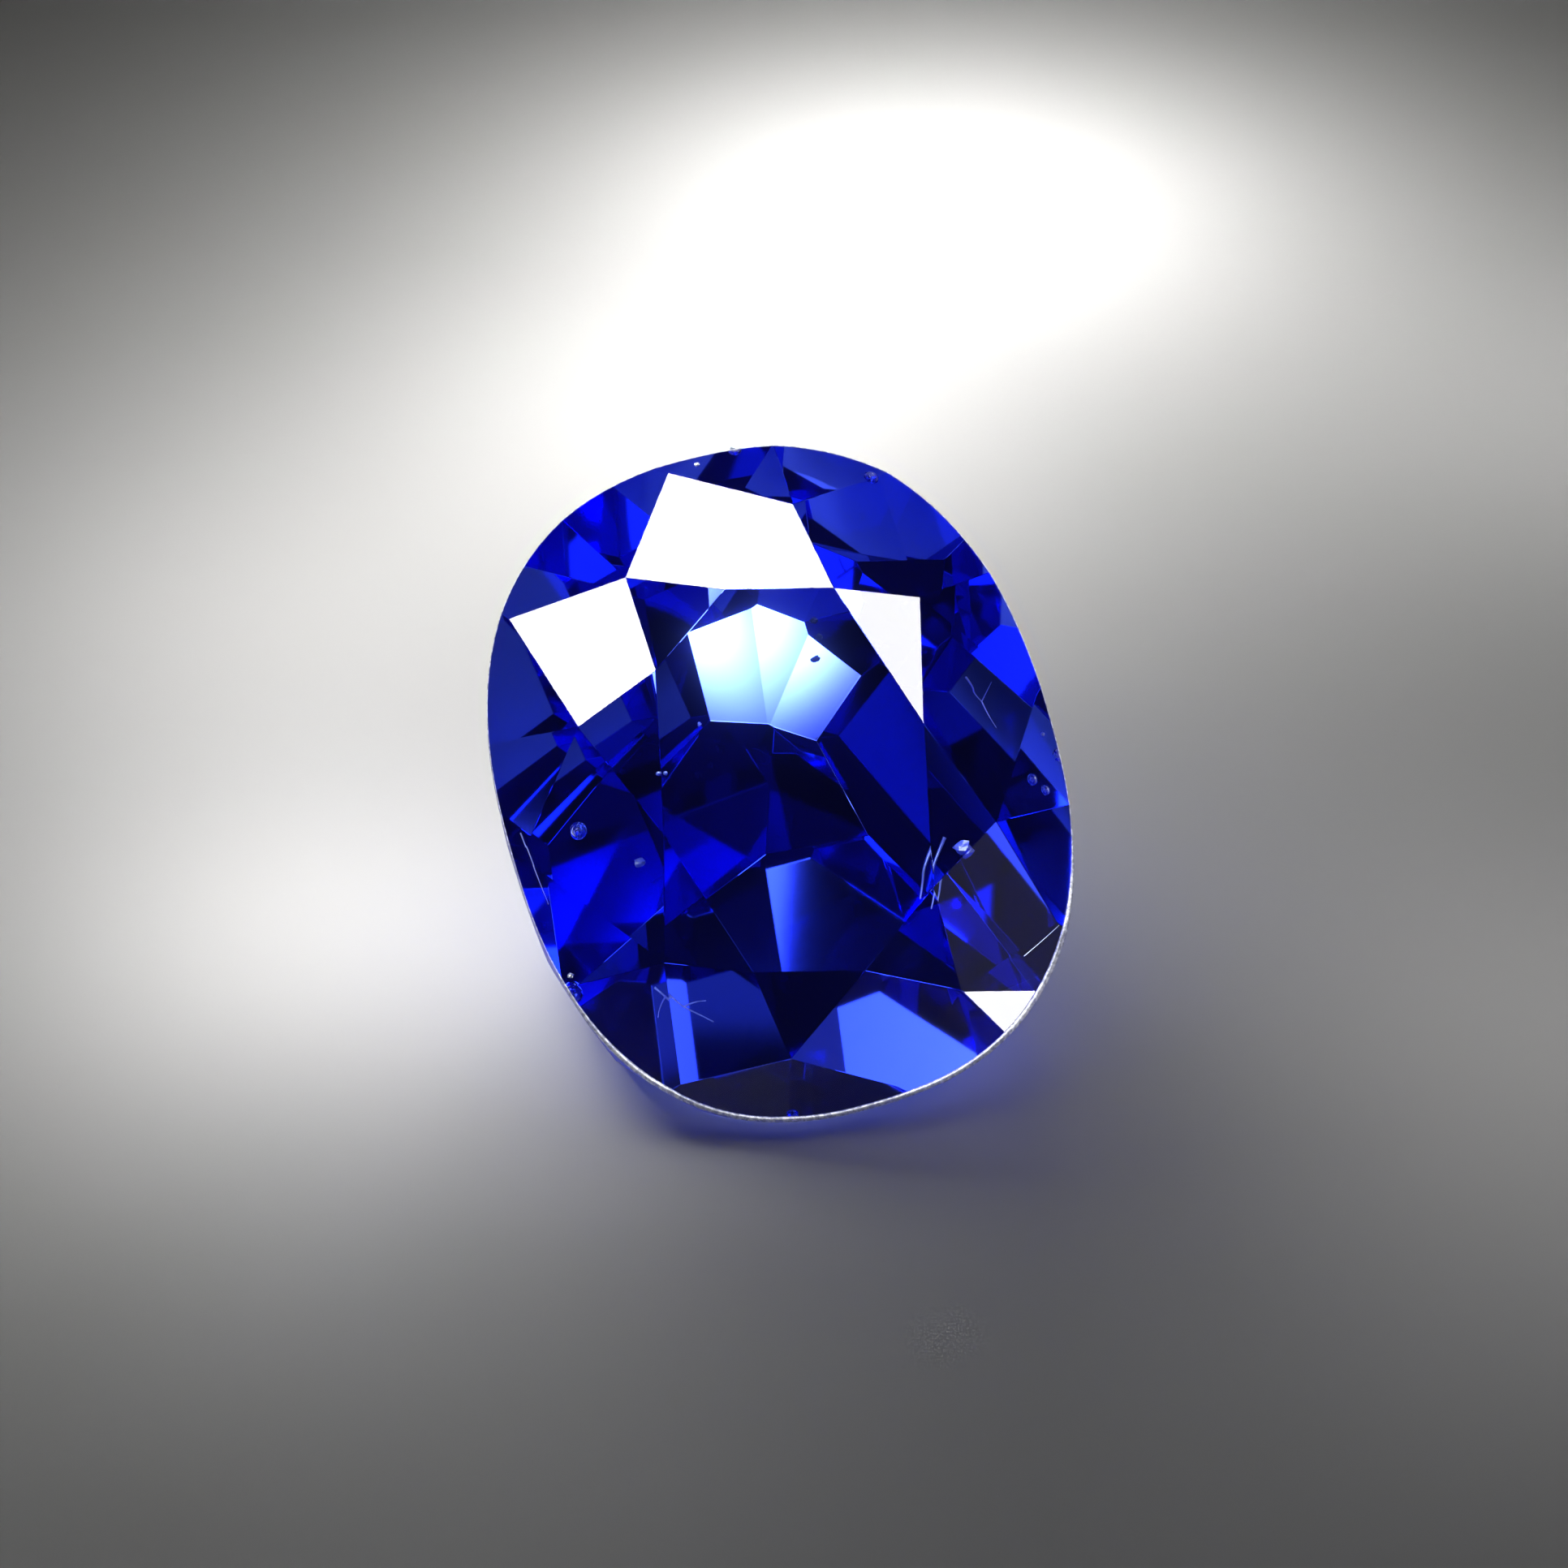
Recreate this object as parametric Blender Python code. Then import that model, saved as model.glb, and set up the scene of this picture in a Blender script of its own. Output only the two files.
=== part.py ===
"""A loose faceted gemstone: a blue oval cushion cut, lying on one facet of its pavilion.

The stone is cut as a lapidary cuts it. A blank is shaped to the outline of the girdle, and
each facet is one flat cut through it. In the stone's own axes +Y is its head end, +X its right
side and +Z the way the table faces. A bearing is a compass angle seen from above the table,
0 at the head end and clockwise. The finished stone is then turned onto the facet it rests on.
"""

import math

import bmesh
import bpy
from mathutils import Matrix, Vector

# Driving dimensions of the girdle, in metres
MM = 0.001
LENGTH = 9.0 * MM
WIDTH = 7.4 * MM
GIRDLE_THICKNESS = 0.40 * MM
OUTLINE_POWER = 2.4
GIRDLE_SEGMENTS = 120

# Driving dimensions of the crown
CROWN_HEIGHT = 1.0 * MM
KITE_TIP_HEIGHT = 0.10 * MM
KITE_TIP_INSET = 0.97

# Each main of the crown: the bearing of its tip at the girdle, the bearing it faces, its
# corner of the table across and along the stone in mm, and the height in the crown of the
# star's tip between it and the next main, from 0 at the girdle to 1 at the table
CROWN_MAINS = (
    (356, 347, -0.13, 2.44, 0.70),
    (34, 56, 1.26, 2.08, 0.63),
    (88, 83, 1.88, 0.04, 0.79),
    (134, 131, 1.39, -2.07, 0.52),
    (176, 168, 0.22, -2.88, 0.67),
    (214, 231, -1.17, -2.51, 0.71),
    (268, 265, -1.79, -0.47, 0.74),
    (316, 311, -1.30, 1.64, 0.61),
)

# Driving dimensions of the pavilion. Its profile is how far out and how deep each outer tier
# ends, the first as a share of the outline and the second below the girdle.
CULET_ACROSS = 0.1 * MM
CULET_ALONG = 1.15 * MM
PAVILION_PROFILE = (
    (1.00, 0.0),
    (0.95, 1.35 * MM),
    (0.53, 3.92 * MM),
)
PAVILION_BEARINGS = (
    tuple(13 + 22.5 * step for step in range(16)),
    tuple(-12 + 45 * step for step in range(8)),
)

# The facets round the culet, which are cut by eye and uneven: the bearing each faces, its
# angle from the girdle in degrees, and its distance from the stone's middle in mm
CULET_FACETS = (
    (-6, 34.0, 4.90),
    (23, 34.5, 4.93),
    (51, 34.0, 4.84),
    (107, 50.5, 3.72),
    (-59, 52.0, 3.90),
    (-139, 32.5, 3.75),
    (-163, 31.0, 3.81),
    (-6, 65.5, 4.11),
    (31, 62.5, 4.24),
    (52, 47.5, 4.57),
)

# The facet that the stone lies on, and the way its table then looks
REST_BEARING = 192
REST_ANGLE = 45
TABLE_HEADING = 6

# Points closer to a cut than this count as on it, and are joined afterwards
ON_PLANE = 0.0005 * MM
JOINED = 0.002 * MM

# Finish
STONE_COLOUR = (0.012, 0.02, 0.42, 1.0)
STONE_ROUGHNESS = 0.03


def outline_point(bearing, scale=1.0):
    """A point of the girdle's outline, a superellipse, as a 2D vector."""
    turn = math.radians(bearing)
    across = abs(math.sin(turn)) / (WIDTH / 2)
    along = abs(math.cos(turn)) / (LENGTH / 2)
    radius = (across**OUTLINE_POWER + along**OUTLINE_POWER) ** (-1 / OUTLINE_POWER)
    return Vector((math.sin(turn), math.cos(turn))) * radius * scale


def outline_normal(bearing):
    """The way the outline faces at that bearing."""
    step = outline_point(bearing + 0.5) - outline_point(bearing - 0.5)
    return Vector((-step.y, step.x)).normalized()


def facing(bearing):
    turn = math.radians(bearing)
    return Vector((math.sin(turn), math.cos(turn)))


def between(bearing, next_bearing):
    """The bearing halfway round to the next facet."""
    return bearing + ((next_bearing - bearing) % 360) / 2


def sloping_cut(direction, slope, point):
    """A cut through the point that faces a level direction and slopes down it by slope."""
    normal = Vector((direction.x * slope, direction.y * slope, 1.0)).normalized()
    return point, normal


def three_point_cut(a, b, c):
    """A cut through three points, facing away from the middle of the stone."""
    normal = (b - a).cross(c - a).normalized()
    if normal.dot(a) < 0:
        normal.negate()
    return a, normal


def meet_at_height(first, second, height):
    """The point at that height on the edge where two cuts meet."""
    rows = []
    for point, normal in (first, second):
        rows.append((normal.x, normal.y, normal.dot(point) - normal.z * height))
    (a, b, p), (c, d, q) = rows
    spread = a * d - b * c
    return Vector(((p * d - b * q) / spread, (a * q - p * c) / spread, height))


def crown_cuts():
    """The table, and below it the mains, the stars and the upper girdle facets."""
    edge = GIRDLE_THICKNESS / 2
    table_height = edge + CROWN_HEIGHT
    mains = []
    tips = []
    corners = []
    for bearing, face, across, along, _ in CROWN_MAINS:
        direction = facing(face)
        tip = outline_point(bearing, KITE_TIP_INSET)
        corner = Vector((across, along)) * MM
        slope = (CROWN_HEIGHT - KITE_TIP_HEIGHT) / direction.dot(tip - corner)
        tips.append(Vector((tip.x, tip.y, edge + KITE_TIP_HEIGHT)))
        corners.append(Vector((corner.x, corner.y, table_height)))
        mains.append(sloping_cut(direction, slope, tips[-1]))

    cuts = list(mains)
    for index, (bearing, _, _, _, star_height) in enumerate(CROWN_MAINS):
        after = (index + 1) % len(CROWN_MAINS)
        height = edge + CROWN_HEIGHT * star_height
        star = meet_at_height(mains[index], mains[after], height)
        middle = outline_point(between(bearing, CROWN_MAINS[after][0]))
        girdle = Vector((middle.x, middle.y, edge))
        cuts.append(three_point_cut(corners[index], corners[after], star))
        cuts.append(three_point_cut(star, tips[index], girdle))
        cuts.append(three_point_cut(star, girdle, tips[after]))
    cuts.append((Vector((0, 0, table_height)), Vector((0, 0, 1))))
    return cuts


def pavilion_point(bearing, scale, depth):
    """A point of the pavilion's profile, which leans towards the culet as it goes down."""
    lean = Vector((CULET_ACROSS, CULET_ALONG)) * (1 - scale)
    level = outline_point(bearing, scale) + lean
    return Vector((level.x, level.y, -GIRDLE_THICKNESS / 2 - depth))


def angled_cut(bearing, angle, distance):
    """A pavilion cut from its bearing, its angle from the girdle and its distance out."""
    tilt = math.radians(angle)
    level = facing(bearing) * math.sin(tilt)
    normal = Vector((level.x, level.y, -math.cos(tilt)))
    return normal * distance, normal


def pavilion_cuts():
    """The outer tiers, each facet a chord of the profile, and the facets round the culet."""
    cuts = []
    tiers = zip(PAVILION_PROFILE, PAVILION_PROFILE[1:], PAVILION_BEARINGS)
    for (top_scale, top_depth), (foot_scale, foot_depth), bearings in tiers:
        for bearing in bearings:
            direction = outline_normal(bearing)
            top = pavilion_point(bearing, top_scale, top_depth)
            foot = pavilion_point(bearing, foot_scale, foot_depth)
            run = direction.dot((top - foot).xy)
            normal = Vector((*(direction * (foot_depth - top_depth)), -run))
            cuts.append((top, normal.normalized()))
    for bearing, angle, distance in CULET_FACETS:
        cuts.append(angled_cut(bearing, angle, distance * MM))
    return cuts


def rest_cut():
    """The facet that the stone lies on, cut in from the lower edge of the girdle."""
    direction = facing(REST_BEARING)
    edge = max(
        (outline_point(REST_BEARING + step) for step in range(-45, 46)),
        key=direction.dot,
    )
    edge = Vector((edge.x, edge.y, -GIRDLE_THICKNESS / 2))
    normal = angled_cut(REST_BEARING, REST_ANGLE, 0)[1]
    return edge, normal


def blank(depth):
    """A block with the girdle's outline, deep enough to hold the whole stone."""
    bm = bmesh.new()
    bmesh.ops.create_cone(
        bm,
        cap_ends=True,
        segments=GIRDLE_SEGMENTS,
        radius1=LENGTH / 2,
        radius2=LENGTH / 2,
        depth=2 * depth,
    )
    for vert in bm.verts:
        bearing = math.degrees(math.atan2(vert.co.x, vert.co.y))
        vert.co.xy = outline_point(bearing)
    return bm


def cut_facet(bm, cut):
    """Takes off what lies beyond one flat cut, and closes the stone with the new facet."""
    point, normal = cut
    result = bmesh.ops.bisect_plane(
        bm,
        geom=bm.verts[:] + bm.edges[:] + bm.faces[:],
        dist=ON_PLANE,
        plane_co=point,
        plane_no=normal,
        clear_outer=True,
    )
    rim = [item for item in result["geom_cut"] if isinstance(item, bmesh.types.BMEdge)]
    rim = [edge for edge in rim if edge.is_boundary]
    if rim:
        bmesh.ops.edgeloop_fill(bm, edges=rim)


def lying_turn():
    """The turn that brings the resting facet level and underneath, and the table forward."""
    head = Matrix.Rotation(math.radians(REST_BEARING - 180), 4, "Z")
    tip = Matrix.Rotation(math.radians(REST_ANGLE), 4, "X")
    heading = Matrix.Rotation(math.radians(TABLE_HEADING), 4, "Z")
    return heading @ tip @ head


def stone_material():
    material = bpy.data.materials.new("blue stone")
    material.use_nodes = True
    shader = material.node_tree.nodes["Principled BSDF"]
    shader.inputs["Base Color"].default_value = STONE_COLOUR
    shader.inputs["Roughness"].default_value = STONE_ROUGHNESS
    shader.inputs["Metallic"].default_value = 0.0
    return material


def make_gemstone(collection):
    cuts = crown_cuts() + pavilion_cuts() + [rest_cut()]
    bm = blank(LENGTH)
    for cut in cuts:
        cut_facet(bm, cut)
    bmesh.ops.remove_doubles(bm, verts=bm.verts, dist=JOINED)
    bmesh.ops.dissolve_degenerate(bm, edges=bm.edges, dist=JOINED)
    bmesh.ops.recalc_face_normals(bm, faces=bm.faces)
    mesh = bpy.data.meshes.new("gemstone")
    bm.to_mesh(mesh)
    bm.free()
    mesh.materials.append(stone_material())

    stone = bpy.data.objects.new("gemstone", mesh)
    collection.objects.link(stone)
    turn = lying_turn()
    corners = [turn @ vert.co for vert in mesh.vertices]
    low = Vector([min(corner[axis] for corner in corners) for axis in range(3)])
    high = Vector([max(corner[axis] for corner in corners) for axis in range(3)])
    foot = Vector(((low.x + high.x) / 2, (low.y + high.y) / 2, low.z))
    stone.matrix_world = Matrix.Translation(-foot) @ turn
    return stone


def clear_scene():
    for obj in list(bpy.data.objects):
        bpy.data.objects.remove(obj)


def main():
    clear_scene()
    collection = bpy.data.collections.new("faceted gemstone")
    bpy.context.scene.collection.children.link(collection)
    make_gemstone(collection)


main()
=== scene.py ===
import math
import random

import bpy
from mathutils import Matrix, Vector


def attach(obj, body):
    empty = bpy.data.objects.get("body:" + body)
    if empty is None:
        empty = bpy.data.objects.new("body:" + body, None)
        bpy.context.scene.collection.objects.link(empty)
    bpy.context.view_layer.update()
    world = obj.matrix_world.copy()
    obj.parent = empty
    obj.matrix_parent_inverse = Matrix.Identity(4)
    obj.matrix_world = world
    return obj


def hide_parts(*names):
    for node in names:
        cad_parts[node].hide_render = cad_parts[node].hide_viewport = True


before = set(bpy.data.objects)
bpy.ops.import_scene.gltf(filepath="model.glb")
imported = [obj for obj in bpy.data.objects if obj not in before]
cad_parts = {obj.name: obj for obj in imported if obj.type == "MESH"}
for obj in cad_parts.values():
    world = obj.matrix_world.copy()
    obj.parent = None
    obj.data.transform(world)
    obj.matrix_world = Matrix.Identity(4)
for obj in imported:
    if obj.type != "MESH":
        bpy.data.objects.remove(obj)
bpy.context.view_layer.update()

# The camera. It looks down at the stone from the front, as a person does who holds a lens
# over a tray, and it is level.
MM = 0.001
STONE_MIDDLE = Vector((0.01, -0.75, 3.34)) * MM
CAMERA_DISTANCE = 51.75 * MM
CAMERA_ELEVATION = math.radians(35)
CAMERA_ASIDE = 0.06 * MM
CAMERA_DOWN = 0.05 * MM
LENS_MM = 89.35
SENSOR_MM = 36.0

towards_camera = Vector((0, -math.cos(CAMERA_ELEVATION), math.sin(CAMERA_ELEVATION)))
camera_up = Vector((0, math.sin(CAMERA_ELEVATION), math.cos(CAMERA_ELEVATION)))
camera_data = bpy.data.cameras.new("camera")
camera_data.lens = LENS_MM
camera_data.sensor_width = SENSOR_MM
camera_data.clip_start = MM
camera_data.clip_end = 10.0
camera = bpy.data.objects.new("camera", camera_data)
camera.location = STONE_MIDDLE + towards_camera * CAMERA_DISTANCE - camera_up * CAMERA_DOWN
camera.location.x += CAMERA_ASIDE
camera.rotation_euler = (math.pi / 2 - CAMERA_ELEVATION, 0, 0)
bpy.context.scene.collection.objects.link(camera)
bpy.context.scene.camera = camera


# The stone. One clear crystal, cut to flat polished facets that meet in crisp edges. The girdle
# between the crown and the pavilion is left ground and frosted, and has a few tiny chips.
# Its shape comes from the frame. Across, along and up are the stone's own axes.
TABLE_TILT = math.radians(45)
TABLE_HEADING = math.radians(6)
HEAD_TURN = math.radians(12)
SAME_POINT = 0.003 * MM
FLAT_ANGLE = math.radians(0.3)
FACET_EDGE = 0.006 * MM
EDGE_ANGLE = math.radians(5)
GIRDLE_LEAN = 0.06
CHIPS = (
    ((-3.30, -1.95, -0.20), 0.13),
    ((3.66, -0.70, 0.22), 0.09),
    ((-3.69, 0.55, -0.22), 0.08),
    ((2.30, 3.58, 0.23), 0.10),
    ((-1.10, -4.32, 0.23), 0.08),
    ((0.66, 4.47, 0.22), 0.10),
)
STONE_IOR = 1.77
ABSORPTION_COLOUR = (0.18, 0.36, 0.96, 1.0)
ABSORPTION_DENSITY = 560.0
POLISH = 0.0
GROUND = 0.45
PAVILION_SHARE = 0.08

stone_axes = (
    Matrix.Translation(STONE_MIDDLE)
    @ Matrix.Rotation(TABLE_HEADING, 4, "Z")
    @ Matrix.Rotation(TABLE_TILT, 4, "X")
    @ Matrix.Rotation(HEAD_TURN, 4, "Z")
)
table_way = stone_axes.to_3x3() @ Vector((0, 0, 1))


def in_stone(across, along, up):
    return stone_axes @ (Vector((across, along, up)) * MM)


def deselect_all():
    bpy.ops.object.select_all(action="DESELECT")


def select_only(obj):
    deselect_all()
    obj.select_set(True)
    bpy.context.view_layer.objects.active = obj


def settle(obj):
    """Puts the object's place into its mesh, so that the object is at the origin."""
    select_only(obj)
    bpy.ops.object.transform_apply(location=True, rotation=True, scale=True)


stone_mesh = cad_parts["gemstone"].data.copy()
stone_mesh.name = "cut_stone"
stone_mesh.materials.clear()
stone = bpy.data.objects.new("cut_stone", stone_mesh)
bpy.context.scene.collection.objects.link(stone)
select_only(stone)
bpy.ops.object.mode_set(mode="EDIT")
bpy.ops.mesh.select_all(action="SELECT")
bpy.ops.mesh.remove_doubles(threshold=SAME_POINT)
bpy.ops.mesh.dissolve_limited(angle_limit=FLAT_ANGLE)
bpy.ops.mesh.customdata_custom_splitnormals_clear()
bpy.ops.object.mode_set(mode="OBJECT")
bpy.ops.object.shade_flat()

leans = {}
for face in stone.data.polygons:
    for pair in face.edge_keys:
        leans.setdefault(pair, []).append(face.normal.dot(table_way))
beside = {}
for pair, both in leans.items():
    if abs(min(both)) < GIRDLE_LEAN < max(both):
        for one, other in (pair, pair[::-1]):
            beside.setdefault(one, []).append(other)
rim_walk = [min(beside)]
rim_walk.append(beside[rim_walk[0]][0])
while rim_walk[-1] != rim_walk[0]:
    rim_walk.append([corner for corner in beside[rim_walk[-1]] if corner != rim_walk[-2]][0])
rim_corners = [stone.data.vertices[corner].co.copy() for corner in rim_walk[:-1]]

ground = stone.data.attributes.new("ground", "FLOAT", "FACE")
for face in stone.data.polygons:
    lean = face.normal.dot(table_way)
    if abs(lean) < GIRDLE_LEAN:
        ground.data[face.index].value = 1.0
    else:
        ground.data[face.index].value = 0.0 if lean > 0 else PAVILION_SHARE

edges = stone.modifiers.new("facet edges", "BEVEL")
edges.width = FACET_EDGE
edges.segments = 2
edges.limit_method = "ANGLE"
edges.angle_limit = EDGE_ANGLE
edges.use_clamp_overlap = False
bpy.ops.object.modifier_apply(modifier=edges.name)

for place, radius in CHIPS:
    deselect_all()
    bpy.ops.mesh.primitive_ico_sphere_add(subdivisions=2, radius=radius * MM, location=in_stone(*place))
    cutter = bpy.context.object
    settle(cutter)
    select_only(stone)
    chip = stone.modifiers.new("chip", "BOOLEAN")
    chip.operation = "DIFFERENCE"
    chip.solver = "EXACT"
    chip.object = cutter
    bpy.ops.object.modifier_apply(modifier=chip.name)
    bpy.data.objects.remove(cutter)

stone_finish = bpy.data.materials.new("blue crystal")
stone_finish.use_nodes = True
nodes = stone_finish.node_tree.nodes
links = stone_finish.node_tree.links
crystal = nodes["Principled BSDF"]
crystal.inputs["Base Color"].default_value = (1.0, 1.0, 1.0, 1.0)
crystal.inputs["IOR"].default_value = STONE_IOR
crystal.inputs["Transmission Weight"].default_value = 1.0
ground_mask = nodes.new("ShaderNodeAttribute")
ground_mask.attribute_name = "ground"
frosting = nodes.new("ShaderNodeMapRange")
frosting.inputs["To Min"].default_value = POLISH
frosting.inputs["To Max"].default_value = GROUND
links.new(ground_mask.outputs["Fac"], frosting.inputs["Value"])
links.new(frosting.outputs["Result"], crystal.inputs["Roughness"])
absorption = nodes.new("ShaderNodeVolumeAbsorption")
absorption.inputs["Color"].default_value = ABSORPTION_COLOUR
absorption.inputs["Density"].default_value = ABSORPTION_DENSITY
links.new(absorption.outputs["Volume"], nodes["Material Output"].inputs["Volume"])
stone.data.materials.append(stone_finish)

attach(stone, "root")
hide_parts("gemstone")


# The frosted edge and its painted highlight. Where the girdle meets the crown its edge is ground away into a narrow
# whitish grainy line, a skin that also paints in the bright rim that light makes along the low edge. It is widest at
# the low end of the stone, where this painted highlight is strongest, and fades out up both sides.
FROST_AND_HIGHLIGHT_RADIUS = 0.045 * MM
HIGHLIGHT_FADE_FROM = -1.2
HIGHLIGHT_FADE_TO = -3.0
HIGHLIGHT_FADE_LEAST = 0.15
# Whitish colour of the ground edge, partly the frosting and partly a painted highlight for the bright low rim.
FROST_AND_HIGHLIGHT_COLOUR = (0.88, 0.90, 0.98, 1.0)

curve = bpy.data.curves.new("frost_and_highlight_edge", "CURVE")
curve.dimensions = "3D"
curve.bevel_depth = FROST_AND_HIGHLIGHT_RADIUS
curve.bevel_resolution = 1
spline = curve.splines.new("POLY")
spline.points.add(len(rim_corners) - 1)
spline.use_cyclic_u = True
to_stone = stone_axes.inverted()
for point, corner in zip(spline.points, rim_corners):
    point.co = corner.to_4d()
    # The radius grows towards the low end: a painted highlight where the rim looks brightest.
    share = ((to_stone @ corner).y / MM - HIGHLIGHT_FADE_FROM) / (HIGHLIGHT_FADE_TO - HIGHLIGHT_FADE_FROM)
    point.radius = min(max(share, HIGHLIGHT_FADE_LEAST), 1.0)
frost_and_highlight_edge = bpy.data.objects.new("frost_and_highlight_edge", curve)
bpy.context.scene.collection.objects.link(frost_and_highlight_edge)
select_only(frost_and_highlight_edge)
bpy.ops.object.convert(target="MESH")
frost_and_highlight_edge = bpy.context.object

# Whitish metallic grainy skin: ground frosting, with a painted highlight along the low rim.
frost_and_highlight_finish = bpy.data.materials.new("frost and painted highlight edge")
frost_and_highlight_finish.use_nodes = True
nodes = frost_and_highlight_finish.node_tree.nodes
links = frost_and_highlight_finish.node_tree.links
skin = nodes["Principled BSDF"]
skin.inputs["Base Color"].default_value = FROST_AND_HIGHLIGHT_COLOUR
skin.inputs["Metallic"].default_value = 1.0
skin.inputs["Roughness"].default_value = 0.5
place = nodes.new("ShaderNodeTexCoord")
grit = nodes.new("ShaderNodeTexNoise")
grit.inputs["Scale"].default_value = 16000.0
grit.inputs["Detail"].default_value = 3.0
links.new(place.outputs["Object"], grit.inputs["Vector"])
cover = nodes.new("ShaderNodeMapRange")
cover.inputs["From Min"].default_value = 0.40
cover.inputs["From Max"].default_value = 0.60
cover.inputs["To Min"].default_value = 0.45
cover.inputs["To Max"].default_value = 1.0
links.new(grit.outputs["Fac"], cover.inputs["Value"])
links.new(cover.outputs["Result"], skin.inputs["Alpha"])
frost_and_highlight_edge.data.materials.append(frost_and_highlight_finish)
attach(frost_and_highlight_edge, "root")


# The inclusions. Small healed cracks, threads, bubbles and grains of other crystal that grew
# with the stone and are caught in it, most of them close under the crown on the right.
INCLUSION_SEED = 11
thread_runs = (
    ("crack", 0.030, ((1.71, -1.37, 0.03), (1.60, -1.50, 0.01), (1.43, -1.72, 0.07), (1.36, -1.92, 0.04), (1.27, -2.10, 0.07))),
    ("veil_root", 0.018, ((2.60, 0.59, 0.21), (2.66, 0.44, 0.14), (2.62, 0.36, 0.10), (2.70, 0.23, 0.04))),
    ("veil_stem", 0.012, ((2.70, 0.23, 0.04), (2.73, 0.02, 0.05), (2.79, -0.16, 0.02))),
    ("veil_twig", 0.010, ((2.70, 0.23, 0.04), (2.84, 0.36, 0.06), (2.95, 0.46, 0.08))),
    ("feather_spine", 0.018, ((-2.05, -2.04, -0.56), (-1.95, -2.20, -0.54), (-1.84, -2.38, -0.55), (-1.70, -2.50, -0.53), (-1.51, -2.68, -0.51))),
    ("feather_left", 0.015, ((-1.95, -2.20, -0.54), (-2.10, -2.32, -0.52), (-2.16, -2.46, -0.52))),
    ("feather_right", 0.015, ((-1.84, -2.38, -0.55), (-1.66, -2.34, -0.52), (-1.52, -2.38, -0.50))),
    ("scratch", 0.006, ((2.40, -3.18, 0.41), (2.70, -3.05, 0.35), (2.99, -2.90, 0.28))),
    ("rim_thread", 0.012, ((-3.45, 0.20, 0.10), (-3.42, -0.10, 0.12), (-3.40, -0.45, 0.12), (-3.36, -0.80, 0.12))),
)
grains = (
    ("white_grain", (1.92, -1.62, 0.65), (0.14, 0.10, 0.06)),
    ("edge_grain_1", (-3.39, -1.80, 0.27), (0.05, 0.04, 0.03)),
    ("edge_grain_2", (3.50, -0.38, 0.20), (0.04, 0.03, 0.03)),
    ("dark_grain_1", (1.00, 1.90, -0.37), (0.06, 0.05, 0.04)),
    ("dark_grain_2", (1.01, 1.67, -0.37), (0.05, 0.05, 0.04)),
    ("dark_grain_3", (0.88, 1.39, -0.37), (0.07, 0.05, 0.04)),
    ("left_grain", (-1.95, -0.62, 0.12), (0.09, 0.06, 0.03)),
    ("top_grain_1", (0.10, 4.38, 0.27), (0.04, 0.03, 0.02)),
    ("top_grain_2", (0.64, 4.50, 0.15), (0.04, 0.03, 0.02)),
    ("dot_1", (-1.50, 0.38, 0.30), (0.03, 0.03, 0.03)),
    ("dot_2", (-0.89, 0.89, 0.30), (0.03, 0.03, 0.03)),
)
bubbles = (
    ("bubble_1", (3.10, -0.93, 0.17), 0.085),
    ("bubble_2", (3.25, -1.10, 0.06), 0.075),
    ("bubble_left", (-2.67, 0.01, 0.17), 0.12),
)

pale = bpy.data.materials.new("pale inclusion")
pale.use_nodes = True
nodes = pale.node_tree.nodes
links = pale.node_tree.links
film = nodes["Principled BSDF"]
film.inputs["Metallic"].default_value = 1.0
film.inputs["Roughness"].default_value = 0.35
place = nodes.new("ShaderNodeTexCoord")
mottle = nodes.new("ShaderNodeTexNoise")
mottle.inputs["Scale"].default_value = 12000.0
links.new(place.outputs["Object"], mottle.inputs["Vector"])
tint = nodes.new("ShaderNodeMix")
tint.data_type = "RGBA"
tint.inputs[6].default_value = (0.55, 0.66, 0.95, 1.0)
tint.inputs[7].default_value = (0.95, 0.97, 1.0, 1.0)
links.new(mottle.outputs["Fac"], tint.inputs[0])
links.new(tint.outputs[2], film.inputs["Base Color"])

dark = bpy.data.materials.new("dark inclusion")
dark.use_nodes = True
nodes = dark.node_tree.nodes
links = dark.node_tree.links
place = nodes.new("ShaderNodeTexCoord")
mottle = nodes.new("ShaderNodeTexNoise")
mottle.inputs["Scale"].default_value = 9000.0
links.new(place.outputs["Object"], mottle.inputs["Vector"])
tint = nodes.new("ShaderNodeMix")
tint.data_type = "RGBA"
tint.inputs[6].default_value = (0.01, 0.01, 0.03, 1.0)
tint.inputs[7].default_value = (0.05, 0.06, 0.12, 1.0)
links.new(mottle.outputs["Fac"], tint.inputs[0])
links.new(tint.outputs[2], nodes["Principled BSDF"].inputs["Base Color"])
nodes["Principled BSDF"].inputs["Roughness"].default_value = 0.4

hollow = bpy.data.materials.new("bubble wall")
hollow.use_nodes = True
nodes = hollow.node_tree.nodes
links = hollow.node_tree.links
nodes["Principled BSDF"].inputs["Transmission Weight"].default_value = 1.0
nodes["Principled BSDF"].inputs["IOR"].default_value = 1 / STONE_IOR
place = nodes.new("ShaderNodeTexCoord")
ripple = nodes.new("ShaderNodeTexNoise")
ripple.inputs["Scale"].default_value = 9000.0
links.new(place.outputs["Object"], ripple.inputs["Vector"])
dulled = nodes.new("ShaderNodeMapRange")
dulled.inputs["To Min"].default_value = 0.0
dulled.inputs["To Max"].default_value = 0.15
links.new(ripple.outputs["Fac"], dulled.inputs["Value"])
links.new(dulled.outputs["Result"], nodes["Principled BSDF"].inputs["Roughness"])

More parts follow.
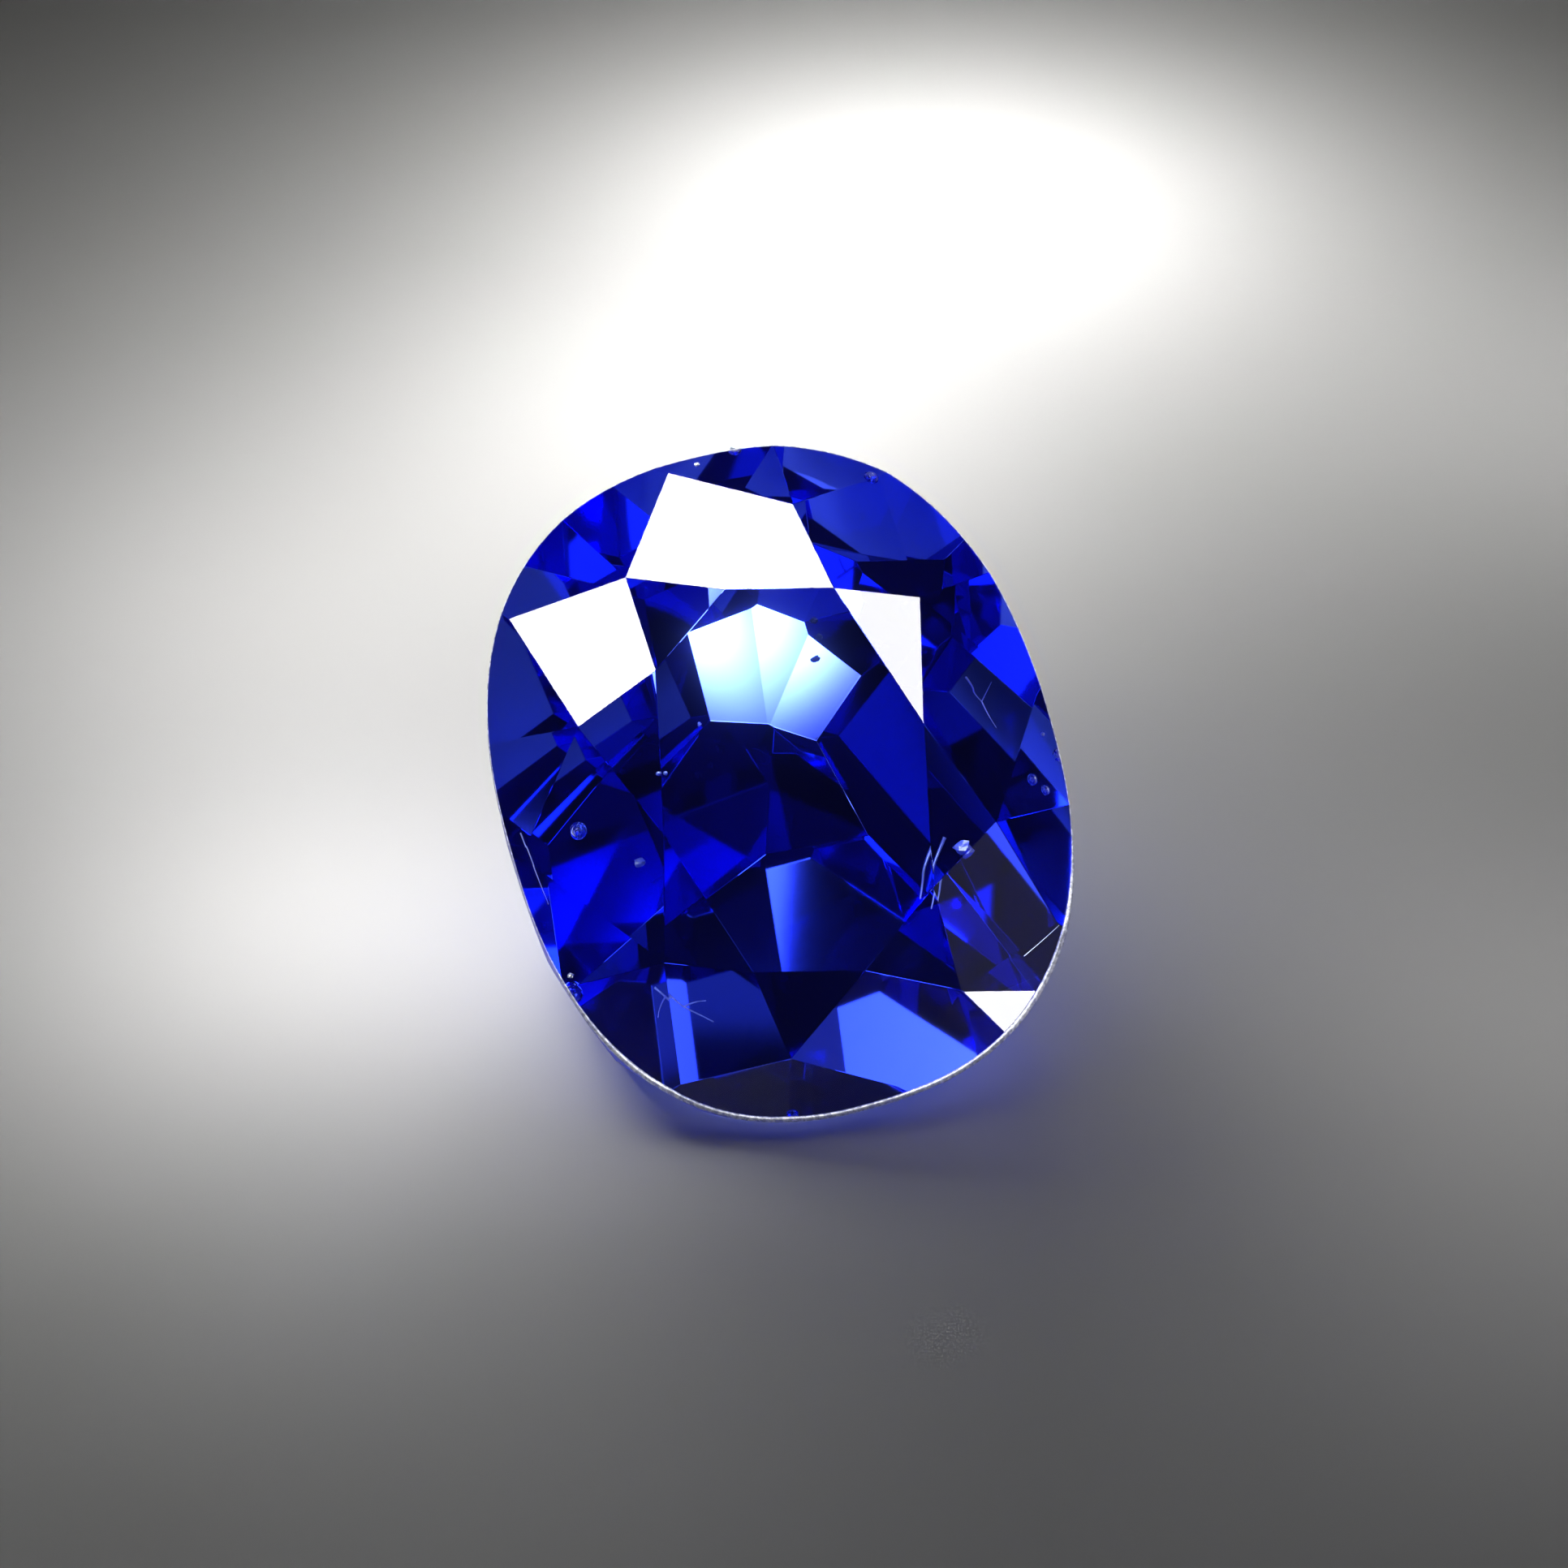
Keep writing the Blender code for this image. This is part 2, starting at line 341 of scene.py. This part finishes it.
for name, radius, run in thread_runs:
    curve = bpy.data.curves.new(name, "CURVE")
    curve.dimensions = "3D"
    curve.bevel_depth = radius * MM
    curve.bevel_resolution = 1
    curve.resolution_u = 6
    curve.use_fill_caps = True
    spline = curve.splines.new("NURBS")
    spline.points.add(len(run) - 1)
    spline.use_endpoint_u = True
    spline.order_u = 3
    for number, (point, place) in enumerate(zip(spline.points, run)):
        point.co = in_stone(*place).to_4d()
        point.radius = 1.0 - 0.6 * number / (len(run) - 1)
    thread = bpy.data.objects.new(name, curve)
    bpy.context.scene.collection.objects.link(thread)
    select_only(thread)
    bpy.ops.object.convert(target="MESH")
    thread = bpy.context.object
    thread.data.materials.append(pale)
    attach(thread, "root")

ragged = random.Random(INCLUSION_SEED)
for name, place, radii in grains:
    deselect_all()
    bpy.ops.mesh.primitive_ico_sphere_add(subdivisions=2, radius=1.0)
    grain = bpy.context.object
    grain.name = name
    for vertex in grain.data.vertices:
        swell = ragged.uniform(0.65, 1.15)
        vertex.co = in_stone(*[middle + part * swell * radius for middle, part, radius in zip(place, vertex.co, radii)])
    grain.data.materials.append(dark if name.startswith("dark") else pale)
    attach(grain, "root")

for name, place, radius in bubbles:
    deselect_all()
    bpy.ops.mesh.primitive_uv_sphere_add(segments=24, ring_count=12, radius=radius * MM, location=in_stone(*place))
    bubble = bpy.context.object
    bubble.name = name
    settle(bubble)
    bpy.ops.object.shade_smooth()
    bubble.data.materials.append(hollow)
    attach(bubble, "root")


# The floor. A plain pale sheet with a satin surface, wide enough for any view.
FLOOR_SIZE = 1.0
FLOOR_DROP = 0.02 * MM
FLOOR_COLOUR = (0.74, 0.73, 0.71, 1.0)

deselect_all()
bpy.ops.mesh.primitive_plane_add(size=FLOOR_SIZE, location=(0, 0, -FLOOR_DROP))
floor = bpy.context.object
floor.name = "floor"
floor_finish = bpy.data.materials.new("pale floor")
floor_finish.use_nodes = True
paint = floor_finish.node_tree.nodes["Principled BSDF"]
paint.inputs["Base Color"].default_value = FLOOR_COLOUR
paint.inputs["Roughness"].default_value = 0.42
floor.data.materials.append(floor_finish)


# The lights. Soft panels stand round the stone where its facets mirror or bend them, and the
# floor round it has pools of light. Each panel is placed on a map of the sky above the stone:
# degrees from straight up, to the right and away from the camera.
def sky(across, away):
    from_top = math.radians(math.hypot(across, away))
    turn = math.atan2(across, away)
    level = math.sin(from_top)
    return Vector((math.sin(turn) * level, math.cos(turn) * level, math.cos(from_top)))


def lamp(name, shape, sizes, radiance, place):
    data = bpy.data.lights.new(name, "AREA")
    data.shape = shape
    data.size, data.size_y = sizes
    area = sizes[0] * sizes[1] * (math.pi / 4 if shape == "ELLIPSE" else 1)
    data.energy = radiance * math.pi * area
    light = bpy.data.objects.new(name, data)
    light.matrix_world = place
    light.visible_camera = False
    bpy.context.scene.collection.objects.link(light)
    return light


def panel(name, centre, half_sizes, turn, distance, radiance):
    way = sky(*centre)
    step = 0.5
    ahead = (
        centre[0] + step * math.cos(math.radians(turn)),
        centre[1] + step * math.sin(math.radians(turn)),
    )
    x_axis = sky(*ahead) - way
    x_axis = (x_axis - way * x_axis.dot(way)).normalized()
    y_axis = way.cross(x_axis)
    sizes = [2 * distance * math.tan(math.radians(half)) for half in half_sizes]
    rotation = Matrix((x_axis, y_axis, way)).transposed().to_4x4()
    place = Matrix.Translation(STONE_MIDDLE + way * distance) @ rotation
    return lamp(name, "RECTANGLE", sizes, radiance, place)


PANEL_DISTANCE = 150 * MM
for name, centre, half_sizes, turn, radiance in (
    ("panel overhead", (-3.5, 5), (17, 7), -41, 16.0),
    ("panel left", (-36, -9), (8, 8), 0, 16.0),
    ("panel right", (41, -1), (8, 9), 0, 12.0),
):
    light = panel(name, centre, half_sizes, turn, PANEL_DISTANCE, radiance)
    light.visible_diffuse = False

# Three rings of soft cards, every other one bright, light the inside of the stone. They are
# brightest at the left behind it. For each ring: degrees from the top, cards, half their width
# in degrees, and the brightness of a bright card and of a dim one.
CARD_RINGS = (
    (30, 8, 6, 4.0, 0.4),
    (55, 10, 7, 3.0, 0.3),
    (82, 8, 7, 8.0, 1.0),
)
CARD_LEAN = 0.6
BRIGHT_SIDE = math.radians(-60)
for from_top, count, half, bright, dim in CARD_RINGS:
    for number in range(count):
        turn = math.tau * number / count
        centre = (from_top * math.sin(turn), from_top * math.cos(turn))
        share = 1 + CARD_LEAN * math.cos(turn - BRIGHT_SIDE)
        radiance = share * (bright if number % 2 else dim)
        light = panel(f"card {from_top} {number}", centre, (half, half), 0, PANEL_DISTANCE, radiance)
        light.visible_diffuse = False
        light.visible_glossy = False

# Two lamps on the right that only the crown mirrors: a wide dim panel, and a small low strip that
# makes the white corner at the lower right.
haze = panel("panel haze", (70, -37), (14, 12), 0, PANEL_DISTANCE, 0.16)
haze.visible_diffuse = False
haze.visible_transmission = False
STRIP_HEADING = math.radians(116)
STRIP_DISTANCE = 25.0
STRIP_MIDDLE = (-1.09, 0.80)
STRIP_SIZE = (4.0, 1.5)
STRIP_TILT = math.radians(-23)
strip_way = Vector((math.sin(STRIP_HEADING), math.cos(STRIP_HEADING), 0))
strip_side = Vector((0, 0, 1)).cross(strip_way)
strip_middle = strip_way * STRIP_DISTANCE + strip_side * STRIP_MIDDLE[0]
strip_place = Vector((
    STONE_MIDDLE.x + strip_middle.x * MM,
    STONE_MIDDLE.y + strip_middle.y * MM,
    STRIP_MIDDLE[1] * MM,
))
upright = Matrix((strip_side, Vector((0, 0, 1)), strip_way)).transposed().to_4x4()
strip_turn = upright @ Matrix.Rotation(STRIP_TILT, 4, "Z")
strip_sizes = [part * MM for part in STRIP_SIZE]
strip = lamp("panel strip", "RECTANGLE", strip_sizes, 12.0, Matrix.Translation(strip_place) @ strip_turn)
strip.visible_diffuse = False
strip.visible_transmission = False

# Small pools of light on the floor behind and under the stone, which are seen through it. Each
# is brightest in the middle and fades outwards.
POOL_DROP = 0.018
POOL_STEP = 0.001
POOL_REACH = 2.6
POOLS = (
    ((-0.8, 5.8), (0.6, 0.6), 22.0),
    ((0.0, 0.0), (0.5, 0.5), 2.0),
)


def below_stone(across, away, height):
    """A point over the floor, across and away from under the stone's middle."""
    return Vector((STONE_MIDDLE.x + across * MM, STONE_MIDDLE.y + away * MM, height * MM))


def fade(light, spread):
    """Makes a lamp fade from its middle to its rim, as a bell curve does."""
    light.data.use_nodes = True
    nodes = light.data.node_tree.nodes
    links = light.data.node_tree.links
    place = nodes.new("ShaderNodeNewGeometry")
    from_middle = nodes.new("ShaderNodeVectorMath")
    from_middle.operation = "DISTANCE"
    from_middle.inputs[1].default_value = (0.5, 0.5, 0.0)
    links.new(place.outputs["Parametric"], from_middle.inputs[0])
    spreads = nodes.new("ShaderNodeMath")
    spreads.operation = "MULTIPLY"
    spreads.inputs[1].default_value = 2 * spread
    links.new(from_middle.outputs["Value"], spreads.inputs[0])
    square = nodes.new("ShaderNodeMath")
    square.operation = "POWER"
    square.inputs[1].default_value = 2.0
    links.new(spreads.outputs["Value"], square.inputs[0])
    bell = nodes.new("ShaderNodeMath")
    bell.operation = "POWER"
    bell.inputs[0].default_value = math.exp(-0.5)
    links.new(square.outputs["Value"], bell.inputs[1])
    links.new(bell.outputs["Value"], nodes["Emission"].inputs["Strength"])


face_up = Matrix.Rotation(math.pi, 4, "X")
for number, (centre, spread, radiance) in enumerate(POOLS):
    height = POOL_STEP * number - POOL_DROP
    sizes = [2 * POOL_REACH * part * MM for part in spread]
    place = Matrix.Translation(below_stone(centre[0], centre[1], height)) @ face_up
    light = lamp(f"pool {number}", "ELLIPSE", sizes, radiance, place)
    light.visible_diffuse = False
    light.visible_glossy = False
    fade(light, POOL_REACH)

# Lamps close over the floor light it alone. Each is given by the brightness that it makes there.
FLOOR_LAMPS = (
    ((-4, 12), 12, 0.4),
    ((3, 24), 8, 1.6),
    ((-1, 16), 7, 0.7),
    ((-8, 9), 7, 0.3),
    ((-6, 1), 6, 0.8),
    ((15, 16), 9, 0.3),
    ((11, -1), 7, 0.2),
)
LAMP_WIDTH = 0.6
for number, (centre, height, brightness) in enumerate(FLOOR_LAMPS):
    size = LAMP_WIDTH * height * MM
    radiance = brightness * math.pi / (FLOOR_COLOUR[1] * LAMP_WIDTH ** 2)
    place = Matrix.Translation(below_stone(centre[0], centre[1], height))
    light = lamp(f"floor lamp {number}", "RECTANGLE", (size, size), radiance, place)
    light.visible_glossy = False
    light.visible_transmission = False

world = bpy.data.worlds.new("room")
world.use_nodes = True
world.node_tree.nodes["Background"].inputs["Color"].default_value = (1, 1, 1, 1)
world.node_tree.nodes["Background"].inputs["Strength"].default_value = 0.012
bpy.context.scene.world = world

scene = bpy.context.scene
scene.view_settings.view_transform = "Standard"
scene.cycles.max_bounces = 16
scene.cycles.glossy_bounces = 16
scene.cycles.transmission_bounces = 16

scene.use_nodes = True
picture = scene.node_tree
lens_glow = picture.nodes.new("CompositorNodeGlare")
lens_glow.glare_type = "FOG_GLOW"
lens_glow.inputs["Threshold"].default_value = 3.0
lens_glow.inputs["Strength"].default_value = 0.12
lens_glow.inputs["Size"].default_value = 0.35
picture.links.new(picture.nodes["Render Layers"].outputs["Image"], lens_glow.inputs["Image"])
picture.links.new(lens_glow.outputs["Image"], picture.nodes["Composite"].inputs["Image"])
